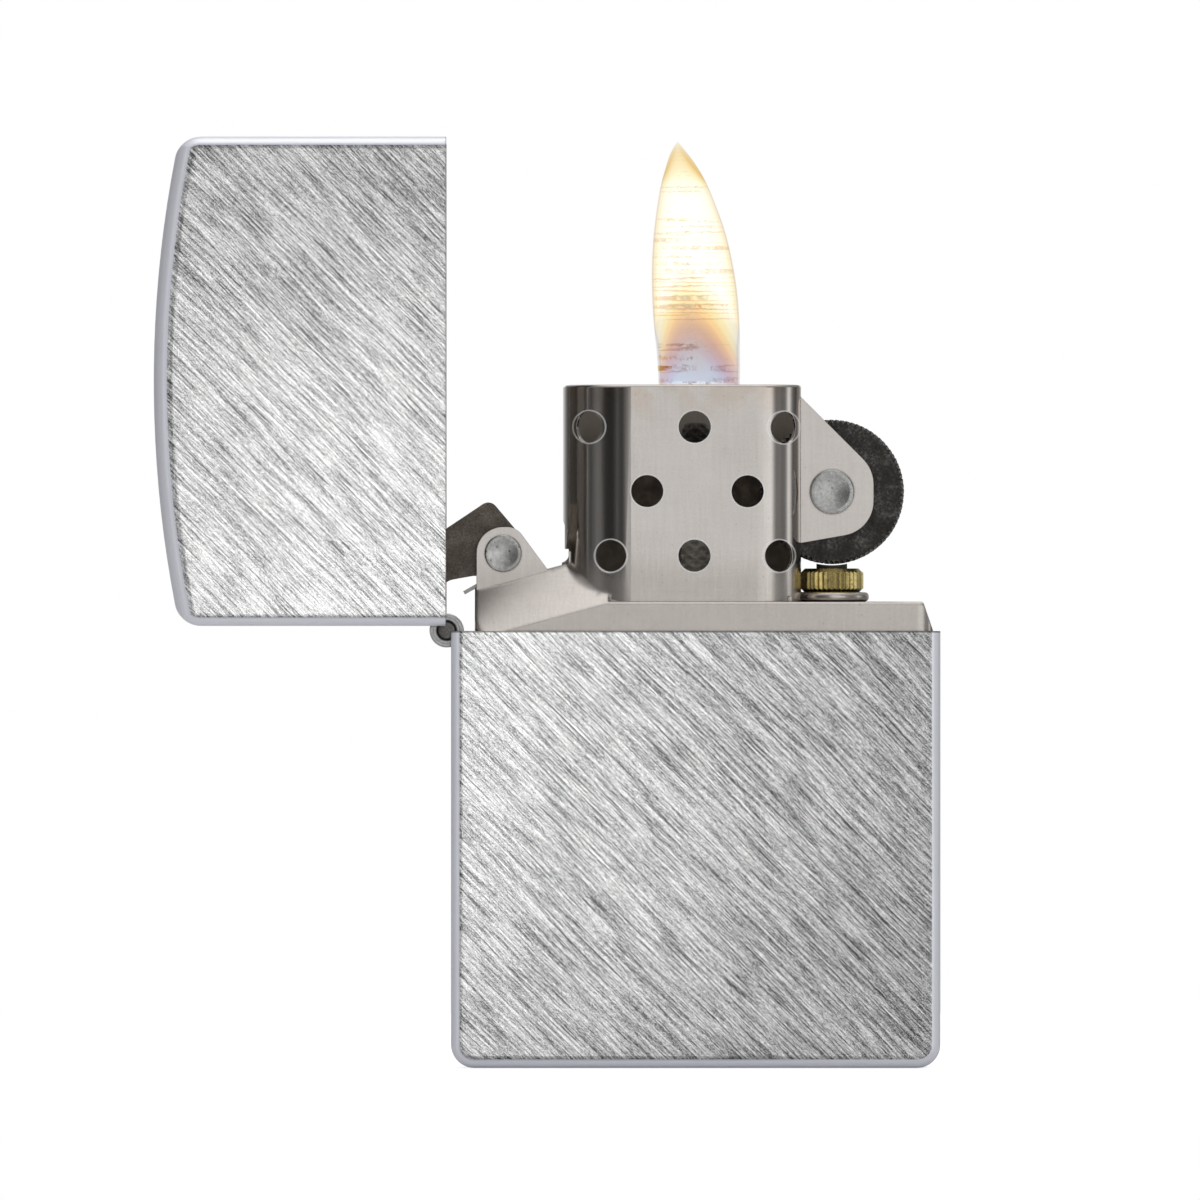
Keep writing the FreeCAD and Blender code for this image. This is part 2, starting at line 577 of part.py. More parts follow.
def tube_path(route, r):
    """Straight runs joined by tangent arcs, swept span by span and fused."""
    pts = [V(x, 0, z) for x, z in route]
    spans, start = [], pts[0]
    for i in range(1, len(pts) - 1):
        a, b = pts[i - 1] - pts[i], pts[i + 1] - pts[i]
        short = min(a.Length, b.Length)
        a.normalize()
        b.normalize()
        turn = math.pi - a.getAngle(b)
        t = 0.45 * short
        bend = t / math.tan(turn / 2)
        mid = a + b
        mid.normalize()
        half = a.getAngle(b) / 2
        m = pts[i] + mid * (bend / math.sin(half) - bend)
        spans.append(Part.LineSegment(start, pts[i] + a * t).toShape())
        spans.append(Part.Arc(pts[i] + a * t, m, pts[i] + b * t).toShape())
        start = pts[i] + b * t
        print("  wick bend radius %.1f" % bend)
    spans.append(Part.LineSegment(start, pts[-1]).toShape())
    w = Part.Wire(spans)
    c = Part.Wire(Part.Circle(pts[0], V(0, 0, 1), r).toShape())
    s = w.makePipeShell([c], True, False)
    s = s.Solids[0] if s.Solids else s
    print("  wick length %.1f, volume %.2f against %.2f" % (w.Length, s.Volume, w.Length * math.pi * r * r))
    return s


def make_packing():
    """Cotton stuffed either side of the wick's folds, and a column of it past the flint tube."""
    bend = [0, 12.0, 5.27, 4.8, 0]
    route = WICK_ROUTE[:-1] + [(-9.6, 3.02)]
    channel = strip_xz([(x, z, r) for (x, z), r in zip(route, bend)], 2 * WICK_R + 0.3, -8, 8)
    out = []
    rows = [(4.15, 13.3), (13.4, 22.5), (22.6, 31.7)]
    for z0, z1 in rows:
        pad = box(INS_X0 + SHEET + 0.1, WHEEL_X - TUBE_R - 0.15, -5.3, 5.3, z0, z1)
        pad = pad.makeFillet(3.0, pad.Edges)
        out += pad.cut(channel).Solids
    for z0, z1 in ((4.15, 17.8), (17.9, 31.7)):
        pad = box(WHEEL_X + TUBE_R + 0.15, INS_X1 - SHEET - 0.1, -5.3, 5.3, z0, z1)
        out.append(pad.makeFillet(2.2, pad.Edges))
    return Part.makeCompound(out)


def make_felt():
    s = plate_xy(rect(INS_X0 + SHEET + 0.15, INS_X1 - SHEET - 0.15, INS_D - SHEET - 0.12, 1.0), 1.7, 4.0)
    return one(s.cut(cyl_z(WHEEL_X, 0, 2.5, 0, 6)))


def main():
    print("case and lid")
    save("case_shell", make_case())
    save("case_hinge_leaf", make_leaf(CASE_KNUCKLES, False, PIN_R))
    save("hinge_pin", make_pin())
    save("lid_shell", open_lid(make_lid()))
    save("lid_hinge_leaf", open_lid(make_leaf(LID_KNUCKLES, True, PIN_R + 0.05)))
    print("insert")
    save("insert_shell", make_insert())
    save("partition_plate", make_partition())
    save("wick", tube_path(WICK_ROUTE, WICK_R))
    save("cotton_packing", make_packing())
    save("felt_pad", make_felt())
    print("striker")
    save("striker_wheel", make_wheel())
    save("wheel_rivet", make_rivet(WHEEL_X, WHEEL_Z, WHEEL_PIN_R, 1.75, 0.36))
    save("flint_tube", make_flint_tube())
    save("flint_tube_washer", make_washer())
    save("flint", make_flint())
    save("flint_pusher", make_pusher())
    save("flint_spring", make_flint_spring())
    save("flint_screw", make_screw())
    print("cam")
    save("cam_lever", make_cam())
    save("cam_rivet", make_rivet(CAM_X, CAM_Z, CAM_PIN_R, 1.45, 0.30))
    save("cam_spring", make_cam_spring())
    save("cam_spring_rivet", make_spring_rivet())


main()
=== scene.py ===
import json
import math

import bmesh
import bpy
import numpy as np
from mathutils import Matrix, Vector, noise


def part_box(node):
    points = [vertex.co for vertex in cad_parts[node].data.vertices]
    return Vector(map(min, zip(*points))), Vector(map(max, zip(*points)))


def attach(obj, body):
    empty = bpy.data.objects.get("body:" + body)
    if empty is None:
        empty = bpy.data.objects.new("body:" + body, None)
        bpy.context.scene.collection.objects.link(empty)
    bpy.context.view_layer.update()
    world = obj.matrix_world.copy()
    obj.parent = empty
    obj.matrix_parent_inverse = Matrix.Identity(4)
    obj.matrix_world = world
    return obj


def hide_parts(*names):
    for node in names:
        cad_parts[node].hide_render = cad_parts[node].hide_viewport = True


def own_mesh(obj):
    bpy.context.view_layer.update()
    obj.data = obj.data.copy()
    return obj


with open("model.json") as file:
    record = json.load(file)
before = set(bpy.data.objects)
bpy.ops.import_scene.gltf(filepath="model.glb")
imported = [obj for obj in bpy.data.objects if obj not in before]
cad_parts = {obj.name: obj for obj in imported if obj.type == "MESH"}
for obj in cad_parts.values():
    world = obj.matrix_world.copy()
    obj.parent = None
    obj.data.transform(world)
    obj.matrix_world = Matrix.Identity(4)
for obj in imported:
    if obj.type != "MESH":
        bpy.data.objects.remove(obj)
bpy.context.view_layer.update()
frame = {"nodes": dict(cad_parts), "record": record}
NODES = frame["nodes"]
SCENE = bpy.context.scene
MM = 0.001


# ---------------------------------------------------------------- camera
cam_data = bpy.data.cameras.new("camera")
cam_data.type = "PERSP"
cam_data.lens = 1000
cam_data.sensor_width = 36
cam_data.clip_start = 0.01
cam_data.clip_end = 50
camera = bpy.data.objects.new("camera", cam_data)
camera.location = (-0.00745, -2.6004, 0.03642)
camera.rotation_euler = (math.pi / 2, 0, 0)
SCENE.collection.objects.link(camera)
SCENE.camera = camera
SCENE.view_settings.view_transform = "Standard"


# ---------------------------------------------------------------- node graphs
class Graph:
    """A few short words for building a shader: every value may be a number, a colour or another node's output."""

    def __init__(self, tree):
        self.tree = tree
        tree.nodes.clear()

    def put(self, socket, value):
        if isinstance(value, bpy.types.NodeSocket):
            self.tree.links.new(value, socket)
        elif isinstance(value, (tuple, list)) and len(value) == 3 and socket.type == "RGBA":
            socket.default_value = (*value, 1)
        else:
            socket.default_value = value

    def node(self, kind, ins=None, **props):
        n = self.tree.nodes.new(kind)
        for k, v in props.items():
            setattr(n, k, v)
        for k, v in (ins or {}).items():
            self.put(n.inputs[k], v)
        return n

    def math(self, op, a, b=0.0, c=0.0, clamp=False):
        n = self.node("ShaderNodeMath", {0: a, 1: b, 2: c}, operation=op)
        n.use_clamp = clamp
        return n.outputs[0]

    def add(self, a, b):
        return self.math("ADD", a, b)

    def sub(self, a, b):
        return self.math("SUBTRACT", a, b)

    def mul(self, a, b):
        return self.math("MULTIPLY", a, b)

    def step(self, x, lo, hi, to_lo=0.0, to_hi=1.0):
        """Smooth step of x from lo to hi."""
        n = self.node("ShaderNodeMapRange", {"Value": x, "From Min": lo, "From Max": hi, "To Min": to_lo, "To Max": to_hi},
                      interpolation_type="SMOOTHSTEP")
        return n.outputs[0]

    def line(self, x, lo, hi, to_lo=0.0, to_hi=1.0):
        n = self.node("ShaderNodeMapRange", {"Value": x, "From Min": lo, "From Max": hi, "To Min": to_lo, "To Max": to_hi})
        n.clamp = True
        return n.outputs[0]

    def mix(self, f, a, b):
        """Colours a to b."""
        n = self.node("ShaderNodeMix", data_type="RGBA")
        self.put(n.inputs[0], f)
        self.put(n.inputs[6], a)
        self.put(n.inputs[7], b)
        return n.outputs[2]

    def times(self, a, b, f=1.0):
        """Colour a multiplied by colour b."""
        n = self.node("ShaderNodeMix", data_type="RGBA", blend_type="MULTIPLY")
        self.put(n.inputs[0], f)
        self.put(n.inputs[6], a)
        self.put(n.inputs[7], b)
        return n.outputs[2]

    def grey(self, x):
        return self.node("ShaderNodeCombineColor", {0: x, 1: x, 2: x}).outputs[0]

    def ramp(self, x, stops, interpolation="LINEAR"):
        n = self.node("ShaderNodeValToRGB", {0: x})
        r = n.color_ramp
        r.interpolation = interpolation
        while len(r.elements) > 1:
            r.elements.remove(r.elements[-1])
        for i, (p, c) in enumerate(stops):
            e = r.elements[0] if i == 0 else r.elements.new(p)
            e.position = p
            e.color = (*c, 1) if isinstance(c, (tuple, list)) else (c, c, c, 1)
        return n.outputs[0]

    def vec(self, x, y, z):
        return self.node("ShaderNodeCombineXYZ", {0: x, 1: y, 2: z}).outputs[0]

    def noise(self, v, scale=1.0, detail=2.0, rough=0.5, distortion=0.0):
        return self.node("ShaderNodeTexNoise", {"Vector": v, "Scale": scale, "Detail": detail, "Roughness": rough,
                                                "Distortion": distortion}).outputs[0]

    def voronoi(self, v, scale=1.0, feature="F1", rand=1.0):
        return self.node("ShaderNodeTexVoronoi", {"Vector": v, "Scale": scale, "Randomness": rand}, feature=feature).outputs[0]

    def place(self):
        """The point on the object in millimetres, as x, y, z and as a vector, and the object's own normal."""
        tc = self.node("ShaderNodeTexCoord")
        v = self.node("ShaderNodeVectorMath", {0: tc.outputs["Object"], "Scale": 1000.0}, operation="SCALE").outputs[0]
        s = self.node("ShaderNodeSeparateXYZ", {0: v})
        n = self.node("ShaderNodeSeparateXYZ", {0: tc.outputs["Normal"]})
        return s.outputs[0], s.outputs[1], s.outputs[2], v, n.outputs

    def bump(self, height, strength=0.3, distance=0.02, normal=None):
        ins = {"Height": height, "Strength": strength, "Distance": distance * MM}
        if normal is not None:
            ins["Normal"] = normal
        return self.node("ShaderNodeBump", ins).outputs[0]

    def surface(self, **values):
        names = dict(base="Base Color", metallic="Metallic", rough="Roughness", normal="Normal", alpha="Alpha", ior="IOR",
                     sheen="Sheen Weight", sheen_rough="Sheen Roughness", coat="Coat Weight", spec="Specular IOR Level",
                     aniso="Anisotropic", emit="Emission Color", emit_strength="Emission Strength", coat_rough="Coat Roughness")
        p = self.node("ShaderNodeBsdfPrincipled", {names[k]: v for k, v in values.items()})
        out = self.node("ShaderNodeOutputMaterial", {"Surface": p.outputs[0]})
        return p


def material(name):
    m = bpy.data.materials.new(name)
    m.use_nodes = True
    return m, Graph(m.node_tree)


# ---------------------------------------------------------------- surroundings: soft studio cards, seen only in reflections
world = bpy.data.worlds.new("studio")
SCENE.world = world
world.use_nodes = True
w = Graph(world.node_tree)
tc = w.node("ShaderNodeTexCoord")
d = w.node("ShaderNodeSeparateXYZ", {0: tc.outputs["Generated"]}).outputs
side = w.math("ARCTAN2", d[0], w.mul(d[1], -1.0))                 # 0 towards the front, + towards the striker side
angle = w.math("DIVIDE", w.math("ABSOLUTE", side), math.pi)
LEFT = [(0, .80), (2, .78), (4, .62), (7, .30), (10, .12), (15, .045), (20, .07), (23, .11), (28, .045), (33, .025), (41, .03),
        (45, .04), (52, .14), (59, .18), (65, .14), (72, .06), (80, .15), (86, .055), (92, .04), (101, .06), (107, .19),
        (119, .19), (124, .07), (130, .02), (138, .11), (145, .22), (153, .45), (162, .66), (180, .72)]
RIGHT = [(0, .80), (12, .84), (25, .94), (34, .98), (38, .86), (41, .62), (45, .36), (50, .21), (60, .22), (69, .17), (78, .20),
         (82, .34), (86, .60), (91, .92), (96, .76), (101, .40), (107, .18), (115, .11), (125, .07), (134, .24), (145, .25),
         (155, .5), (165, .66), (180, .72)]
left = w.ramp(angle, [(a / 180, v) for a, v in LEFT])
right = w.ramp(angle, [(a / 180, v) for a, v in RIGHT])
band = w.mix(w.step(side, -0.02, 0.02), left, right)
rise = w.math("ARCSINE", d[2])
up = w.ramp(w.line(rise, 0.0, math.pi / 2), [(0, .22), (.2, .24), (.42, .35), (.55, .62), (.8, .80), (1, .82)])
away = w.step(w.math("ABSOLUTE", rise), math.radians(6), math.radians(17))
light = w.mix(away, band, w.times(up, (1.0, .995, 1.01)))
lp = w.node("ShaderNodeLightPath")
seen = w.mix(lp.outputs["Is Camera Ray"], light, (1.0, 1.0, 1.0))
bg = w.node("ShaderNodeBackground", {"Color": seen, "Strength": 1.0})
w.node("ShaderNodeOutputWorld", {"Surface": bg.outputs[0]})


def area(name, at, to, size, radiance, colour=(1, 1, 1), size_y=None):
    """A soft box whose face has that radiance."""
    data = bpy.data.lights.new(name, "AREA")
    data.shape = "RECTANGLE"
    data.size = size
    data.size_y = size_y or size
    data.energy = radiance * data.size * data.size_y * math.pi
    data.color = colour
    o = bpy.data.objects.new(name, data)
    o.location = at
    o.rotation_euler = (Vector(to) - Vector(at)).to_track_quat("-Z", "Y").to_euler()
    o.visible_camera = False
    SCENE.collection.objects.link(o)
    return o


key = area("key", (-0.028, -0.166, 0.031), (-0.028, 0.0, 0.031), 0.03, 6.4, size_y=.052)
area("fill", (0.10, -0.55, 0.30), (0.0, 0.0, 0.035), 0.30, .45)
area("top", (0.0, 0.02, 0.55), (0.0, 0.0, 0.035), 0.50, .31)
area("back", (-0.05, 0.55, 0.25), (0.0, 0.0, 0.035), 0.35, .55)
# soft boxes that light only the brushed case and lid
lit = bpy.data.collections.new("lit_by_key")
for name in ("case_shell", "lid_shell", "case_hinge_leaf", "lid_hinge_leaf"):
    lit.objects.link(NODES[name])
side_right = area("side_right", (0.42, -0.42, 0.06), (0.0, 0.0, 0.04), 0.30, 1.5)
side_left = area("side_left", (-0.40, -0.44, 0.06), (0.0, 0.0, 0.04), 0.30, 1.5)
over = area("over", (0.03, -0.06, 0.42), (0.0, 0.0, 0.05), 0.28, 1.4)
key_back = area("key_back", (0.02, 0.32, 0.06), (-0.01, 0.0, 0.04), 0.10, 2.2)
for o in (side_right, side_left, over, key_back):
    o.light_linking.receiver_collection = lit
shells = bpy.data.collections.new("lit_by_key_alone")
for name in ("case_shell", "lid_shell"):
    shells.objects.link(NODES[name])
key.light_linking.receiver_collection = shells


# ---------------------------------------------------------------- floor
def disc(name, radius, z, rings=(0.1, 0.4, 1.0), n=96):
    bm = bmesh.new()
    centre = bm.verts.new((0, 0, z))
    last = None
    for k in rings:
        ring = [bm.verts.new((radius * k * math.cos(2 * math.pi * i / n), radius * k * math.sin(2 * math.pi * i / n), z)) for i in range(n)]
        for i in range(n):
            j = (i + 1) % n
            if last is None:
                bm.faces.new((centre, ring[i], ring[j]))
            else:
                bm.faces.new((last[i], ring[i], ring[j], last[j]))
        last = ring
    me = bpy.data.meshes.new(name)
    bm.to_mesh(me)
    bm.free()
    o = bpy.data.objects.new(name, me)
    SCENE.collection.objects.link(o)
    return o


floor = disc("floor", 0.34, -0.00005)
m, g = material("floor_white")
x, y, z, v, n = g.place()
tone = g.mix(g.noise(v, 0.02, 3), (.80, .80, .80), (.84, .84, .845))
own = g.node("ShaderNodeLightPath").outputs["Is Camera Ray"]
g.surface(base=tone, rough=.9, spec=.1, emit=(1.0, 1.0, 1.0), emit_strength=g.line(own, 0, 1, .05, .70))
floor.data.materials.append(m)


# ---------------------------------------------------------------- metals
def brushed_metal():
    """Satin chrome, brushed on the slant across its two broad faces, plainer on its rounded edges and narrow sides,
    which carry a painted lavender reflection, with thin lines of painted shade.
    """
    m, g = material("brushed_chrome")
    x, y, z, v, n = g.place()
    r = math.sqrt(.5)
    u = g.mul(g.sub(x, z), r)
    t = g.mul(g.add(x, z), r)
    face = g.mul(g.math("SIGN", y), 9.7)
    slow = g.noise(g.vec(g.mul(u, .055), g.mul(t, .055), face), 1.0, 2)
    wob = g.mul(g.sub(slow, .5), .7)
    t = g.add(t, wob)

    def streaks(long, wide, seed, detail=2.0, rough=.55):
        return g.noise(g.vec(g.mul(u, 1 / long), g.mul(t, 1 / wide), g.add(face, seed)), 1.0, detail, rough)

    line = streaks(3.4, .140, 17.3, 1.0, .5)
    fine = streaks(.40, .10, 31.9, 1.0)
    grain = g.noise(v, 10.0, 1)
    mottle = g.noise(g.vec(g.mul(u, .30), g.mul(t, .55), g.add(face, 51.0)), 1.0, 2, .55)
    cloud = g.noise(g.vec(g.mul(u, .07), g.mul(t, .10), g.add(face, 77.0)), 1.0, 2, .5)
    tone = g.add(g.mul(g.sub(line, .5), 1.9), g.mul(g.sub(fine, .5), 1.35))
    tone = g.add(tone, g.mul(g.sub(grain, .5), 1.75))
    tone = g.add(tone, g.mul(g.sub(mottle, .5), .24))
    tone = g.add(tone, g.mul(g.sub(cloud, .5), .18))
    nick = g.step(streaks(4.2, .10, 67.7, 0.0), .66, .76)              # the deeper dark scratches
    glint = g.step(streaks(3.0, .10, 91.3, 0.0), .66, .76)             # and bright ones
    tone = g.add(tone, g.mul(glint, .22))
    tone = g.sub(tone, g.mul(nick, .42))
    # the shells' inner faces look towards their own middle, the outer ones away from it
    lid = g.step(x, -19.15, -19.3)
    away = g.add(g.mul(n[0], g.sub(x, g.line(lid, 0, 1, 0.0, -31.0))), g.mul(n[2], g.sub(z, g.line(lid, 0, 1, 17.0, 53.0))))
    inside = g.step(g.add(away, g.mul(n[1], y)), .4, -.4)
    flat = g.mul(g.step(g.math("ABSOLUTE", n[1]), .940, .966), g.sub(1.0, inside))
    # along the narrow sides the lines run lengthways
    along = g.noise(g.vec(g.mul(x, .22), g.mul(y, 9.0), g.mul(z, .22)), 1.0, 3, .6)
    speck = g.noise(v, 5.0, 2)
    lo = g.add(g.mul(g.sub(along, .5), .30), g.mul(g.sub(speck, .5), .18))
    brush = g.ramp(g.line(tone, -.75, .75), [(0, (.045, .046, .046)), (.25, (.165, .167, .166)), (.5, (.395, .398, .395)), (.75, (.64, .64, .637)), (1, (.86, .86, .855))])
    # the rounded edges and narrow sides: lavender-grey, partly the chrome's own colour and partly a painted reflection
    # of the surroundings, on a less metallic finish
    plain = g.ramp(g.line(lo, -.25, .25), [(0, (.70, .71, .765)), (.5, (.785, .795, .85)), (1, (.86, .87, .92))])
    plain = g.mix(inside, plain, (.62, .60, .575))
    # a thin line of painted shade where the brushing stops at the rounded edge
    edge = g.math("ABSOLUTE", n[1])
    lip = g.mul(g.step(edge, .88, .93), g.sub(1.0, g.step(edge, .955, .985)))
    lip = g.mul(lip, g.step(x, 14.0, 2.0))
    base = g.mix(flat, plain, brush)
    base = g.times(base, g.mix(lip, (1, 1, 1), (.80, .80, .83)))
    # painted shade: a near-black line along the cut rims of the case and the lid
    cut = g.mul(g.sub(1.0, lid), g.step(z, 33.84, 33.93))
    lid_rim_shade = g.mul(lid, g.step(x, -19.56, -19.47))
    base = g.mix(g.mul(g.add(cut, g.mul(lid_rim_shade, .55)), .80), base, (.06, .06, .062))
    rough = g.mix(flat, g.grey(g.line(lo, -.3, .3, .50, .40)), g.grey(g.line(tone, -.6, .6, .29, .41)))
    metal = g.mix(flat, g.mix(inside, (.40, .40, .40), (.8, .8, .8)), (1.0, 1.0, 1.0))
    height = g.mix(flat, g.grey(g.mul(lo, .25)), g.grey(tone))
    g.surface(base=base, metallic=metal, rough=rough, normal=g.bump(height, .16, .015))
    return m


HOLES = {"front": [(-8.29, 49.9), (-.08, 49.9), (6.86, 49.85), (-3.78, 44.9), (4.04, 44.88), (-6.61, 39.87), (-.10, 39.87), (6.50, 39.85)],
         "back": [(-3.95, 49.9), (3.85, 49.9), (-8.29, 44.9), (-.08, 44.9), (6.86, 44.88), (-3.5, 39.87), (3.6, 39.87)]}


# the windshield's plan: two rounded ends, from which its inner side is worked out
def inside_chimney(g, x, y):
    """0 at the windshield's outer face, negative inside it, in millimetres."""
    ay = g.math("ABSOLUTE", y)

    def end(dx, flat, radius):
        ey = g.math("MAXIMUM", g.sub(ay, flat), 0.0)
        ex = g.math("MAXIMUM", dx, 0.0)
        return g.sub(g.math("SQRT", g.add(g.mul(ex, ex), g.mul(ey, ey))), radius)

    return g.math("MAXIMUM", end(g.mul(g.add(x, 5.03), -1.0), .15, 5.3), end(g.sub(x, 4.83), 2.05, 3.4))


def nickel():
    """Bright nickel-plated sheet with fine handling marks, sooted inside its windshield."""
    m, g = material("nickel_sheet")
    x, y, z, v, n = g.place()
    speck = g.noise(v, 7.0, 3, .65)
    marks = g.noise(g.vec(g.mul(x, 5.5), y, g.mul(z, .35)), 1.0, 2, .6)
    cross = g.noise(g.vec(g.mul(x, .4), y, g.mul(z, 6.0)), 1.0, 2, .6)
    cloud = g.noise(v, .22, 3, .55)
    pits = g.step(g.voronoi(v, 1.9), .14, .05)
    pits = g.mul(pits, g.step(g.noise(v, .5, 1), .50, .62))
    tone = g.add(g.add(g.mul(g.sub(speck, .5), .30), g.mul(g.sub(marks, .5), .20)), g.add(g.mul(g.sub(cloud, .5), .25), g.mul(g.sub(cross, .5), .10)))
    clean = g.ramp(g.line(tone, -.28, .28), [(0, (.53, .497, .455)), (.5, (.655, .617, .58)), (1, (.755, .72, .683))])
    low = g.step(z, 41.0, 37.5)
    clean = g.mix(g.mul(low, .6), clean, g.times(clean, (1.08, 1.06, 1.03)))
    clean = g.mix(g.mul(pits, .55), clean, (.30, .27, .235))
    # heat tint round the top of the windshield
    heat = g.mul(g.step(z, 49.5, 53.2), g.step(g.noise(v, .5, 2), .42, .66))
    clean = g.mix(g.mul(heat, .35), clean, (.55, .42, .30))
    sdf = inside_chimney(g, x, y)
    inner = g.mul(g.step(sdf, -.16, -.30), g.step(z, 36.2, 36.45))
    patchy = g.noise(v, 1.3, 4, .6)
    soot = g.ramp(g.line(patchy, .3, .7), [(0, (.045, .032, .022)), (.5, (.10, .075, .055)), (1, (.20, .155, .115))])
    # cleaner towards the mouth and where the flame has burnt it off low down
    thin = g.add(g.step(z, 46.5, 50.5), g.mul(g.step(z, 43.0, 39.0), .45))
    soot = g.mix(g.mul(thin, .85), soot, (.42, .39, .34))
    tube = g.step(z, 36.2, 35.9)                    # the tank's walls and inside stay cleaner
    base = g.mix(g.mul(inner, .96), clean, soot)
    base = g.mix(g.mul(tube, .12), base, (.60, .57, .53))
    rough = g.add(g.line(tone, -.3, .3, .15, .08), g.mul(inner, .42))
    rough = g.add(rough, g.mul(low, .14))
    metal = g.sub(1.0, g.mul(inner, .65))
    # a painted highlight: a near-white ring round the edge of each pierced hole
    nearest = {}
    for where, holes in HOLES.items():
        best = None
        for hx, hz in holes:
            dx, dz = g.sub(x, hx), g.sub(z, hz)
            dist = g.math("SQRT", g.add(g.mul(dx, dx), g.mul(dz, dz)))
            best = dist if best is None else g.math("MINIMUM", best, dist)
        nearest[where] = best
    hole = g.node("ShaderNodeMix", {0: g.step(y, -.2, .2), 2: nearest["front"], 3: nearest["back"]}).outputs[0]
    rim = g.mul(g.step(hole, 1.37, 1.31), g.step(sdf, -.36, -.02))
    rim = g.mul(rim, g.step(hole, 1.20, 1.235))
    rim = g.mul(rim, g.step(g.noise(v, .9, 2), .12, .34))
    base = g.mix(g.mul(rim, .95), base, (1.0, .99, .97))
    metal = g.sub(metal, g.mul(rim, .55))
    rough = g.add(rough, g.mul(rim, .12))
    # painted shade: the sheet darkened in its creases and corners, found by occlusion, less so on the hole highlights
    crease_shade = g.node("ShaderNodeAmbientOcclusion", {"Distance": .28 * MM}, samples=4).outputs["AO"]
    base = g.mix(g.mul(g.step(crease_shade, .80, .30), g.mul(.75, g.sub(1.0, g.mul(rim, .8)))), base, (.06, .05, .042))
    soft = g.mul(g.mul(g.step(x, -4.0, -8.0), g.mul(low, g.step(z, 33.0, 34.0))), g.step(n[1], -.99, -.96))
    deck = g.mul(g.step(x, 9.4, 10.4), g.mul(g.step(z, 33.6, 34.2), g.step(z, 36.6, 36.4)))
    wide = g.add(g.mul(soft, .45 * MM), g.mul(deck, .20 * MM))
    bevel = g.node("ShaderNodeBevel", {"Radius": g.add(.07 * MM, wide)}, samples=6).outputs[0]
    g.surface(base=base, metallic=metal, rough=rough, normal=g.bump(g.add(g.mul(tone, .7), g.mul(inner, g.mul(patchy, 1.5))), .05, .015, bevel))
    return m


def plain_metal(name, dark, mid, light, rough=(.32, .2), scale=4.0, bump=.15, wear=.0, metallic=1.0, patina_and_shade=0.0, pits=.0, stretch=(1, 1, 1), bevel=0.0):
    """A metal with fine grain and marks."""
    m, g = material(name)
    x, y, z, v, n = g.place()
    v = g.vec(g.mul(x, stretch[0]), g.mul(y, stretch[1]), g.mul(z, stretch[2]))
    a = g.noise(v, scale, 4, .62)
    b = g.noise(v, scale * .13, 2)
    tone = g.add(g.mul(g.sub(a, .5), .8), g.mul(g.sub(b, .5), .6))
    base = g.ramp(g.line(tone, -.4, .4), [(0, dark), (.5, mid), (1, light)])
    height = tone
    if pits:
        hole = g.step(g.voronoi(v, scale * .55), .26, .10)
        hole = g.mul(hole, g.step(g.noise(v, scale * .3, 1), .42, .58))
        base = g.mix(g.mul(hole, pits), base, tuple(c * .35 for c in dark))
        height = g.sub(height, g.mul(hole, pits))
    # where asked, darker in the hollows found by occlusion: patina on the brass, painted shade on the rivets
    if patina_and_shade or wear:
        ao = g.node("ShaderNodeAmbientOcclusion", {"Distance": .5 * MM}, samples=6).outputs["AO"]
        if patina_and_shade:
            base = g.mix(g.mul(g.step(ao, .85, .35), patina_and_shade), base, tuple(c * .12 for c in dark))
    normal = g.bump(height, bump, .02)
    if bevel:
        normal = g.bump(height, bump, .02, g.node("ShaderNodeBevel", {"Radius": bevel * MM}, samples=4).outputs[0])
    g.surface(base=base, metallic=metallic, rough=g.line(tone, -.4, .4, rough[0], rough[1]), normal=normal)
    return m


def hinge_plate():
    """Rolled hinge sheet, its ends showing the turns of the roll about the pin, with painted shade round the pin, at
    its outer edge and in the crevices.
    """
    m, g = material("hinge_plate")
    x, y, z, v, n = g.place()
    a = g.noise(v, 5.0, 4, .62)
    tone = g.sub(a, .5)
    base = g.ramp(g.line(tone, -.3, .3), [(0, (.40, .395, .39)), (.5, (.60, .598, .59)), (1, (.80, .80, .795))])
    dx, dz = g.add(x, 19.4), g.sub(z, 34.05)
    r = g.math("SQRT", g.add(g.mul(dx, dx), g.mul(dz, dz)))
    r = g.add(r, g.mul(g.sub(g.noise(v, 1.1, 1), .5), .05))
    end = g.mul(g.step(g.math("ABSOLUTE", n[1]), .8, .95), g.step(r, 1.6, 1.45))
    # dark rings on the end faces: painted shade in the gap round the pin and at the outer edge, with a darker seam
    # between the roll's turns
    rings = g.ramp(g.line(r, .70, 1.36), [(0, 0.95), (.14, .95), (.26, .12), (.40, .05), (.50, .50), (.58, .08), (.74, .05), (.86, .75), (1, 1.0)])
    base = g.mix(g.mul(end, rings), base, (.035, .032, .03))
    # painted shade: darker in the crevices, found by occlusion
    ao = g.node("ShaderNodeAmbientOcclusion", {"Distance": .4 * MM}, samples=6).outputs["AO"]
    base = g.mix(g.mul(g.step(ao, .8, .35), .9), base, (.05, .048, .045))
    g.surface(base=base, metallic=.9, rough=g.line(tone, -.3, .3, .42, .28), normal=g.bump(g.sub(tone, g.mul(g.mul(end, rings), .8)), .2, .03,
              g.node("ShaderNodeBevel", {"Radius": .06 * MM}, samples=4).outputs[0]))
    return m


